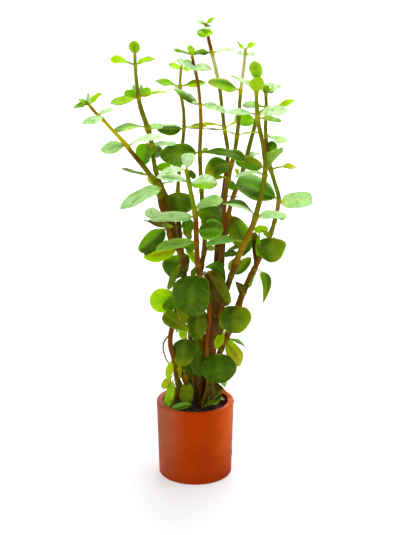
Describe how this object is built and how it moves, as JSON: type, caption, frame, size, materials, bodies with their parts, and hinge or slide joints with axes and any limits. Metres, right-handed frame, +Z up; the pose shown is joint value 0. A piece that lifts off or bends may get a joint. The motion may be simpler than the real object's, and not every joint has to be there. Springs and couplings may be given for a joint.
{
  "type": "potted indian toothcup",
  "caption": "Upright bunch of leafy aquarium stems rooted in a small round terracotta-coloured pot.",
  "frame": {"origin": "centre of the pot's flat underside", "axes": "+Z up along the pot's axis; the pictured side looks along -Y, with +X to its right"},
  "size_m": [0.1457, 0.0507, 0.2945],
  "materials": {
    "pot_clay": "satin terracotta orange",
    "growing_wool": "rough dark fibre",
    "stem_skin": "satin olive to red-brown",
    "leaf_lime": "satin, thin enough to let light through",
    "leaf_bright": "satin young leaf",
    "leaf_pale": "satin with a pale sheen",
    "leaf_green": "satin leaf",
    "leaf_dark": "glossy old leaf",
    "leaf_olive": "satin ageing leaf",
    "leaf_yellow": "satin fading leaf",
    "leaf_brown": "dull dead leaf"
  },
  "bodies": {
    "root": {"pot": "pot_clay", "growing_medium": "growing_wool", "stem_a": "stem_skin", "stem_b": "stem_skin", "stem_c": "stem_skin", "stem_d": "stem_skin", "stem_e": "stem_skin", "stem_f": "stem_skin", "stem_g": "stem_skin", "stem_h": "stem_skin", "stem_j": "stem_skin", "stem_k": "stem_skin", "stem_p": "stem_skin", "leaf_a_lower": "leaf_bright", "leaf_a_folded": "leaf_green", "leaf_a_left": "leaf_green", "leaf_a_right": "leaf_pale", "leaf_b_back": "leaf_dark", "leaf_b_yellow": "leaf_yellow", "leaf_b_hanging": "leaf_dark", "leaf_b_side": "leaf_olive", "leaf_b_round": "leaf_lime", "leaf_b_olive": "leaf_olive", "leaf_b_in_pot": "leaf_bright", "leaf_c_left": "leaf_dark", "leaf_c_front": "leaf_dark", "leaf_c_round": "leaf_dark", "leaf_d_left": "leaf_dark", "leaf_d_right": "leaf_green", "leaf_d_brown": "leaf_olive", "leaf_d_long": "leaf_dark", "leaf_d_hanging": "leaf_green", "leaf_f_upper": "leaf_green", "leaf_f_left": "leaf_dark", "leaf_f_dead": "leaf_brown", "leaf_k_left": "leaf_bright", "leaf_k_right": "leaf_olive", "leaf_g_upper": "leaf_pale", "leaf_g_back": "leaf_green", "leaf_g_left": "leaf_green", "leaf_g_right": "leaf_pale", "leaf_g_lower": "leaf_bright", "leaf_h_upright": "leaf_bright", "leaf_h_right": "leaf_pale", "leaf_h_left": "leaf_dark", "leaf_h_broad": "leaf_olive", "leaf_h_crescent": "leaf_olive", "leaf_h_lower": "leaf_green", "leaf_h_round": "leaf_dark", "leaf_j_upper_left": "leaf_pale", "leaf_j_upper_right": "leaf_pale", "leaf_j_long": "leaf_pale", "leaf_j_right": "leaf_bright", "leaf_j_dark": "leaf_dark", "leaf_j_lower_left": "leaf_bright", "leaf_j_veined": "leaf_green", "leaf_j_front": "leaf_dark", "wilted_leaf_left": "leaf_green", "wilted_leaf_right": "leaf_olive"}
  },
  "joints": []
}
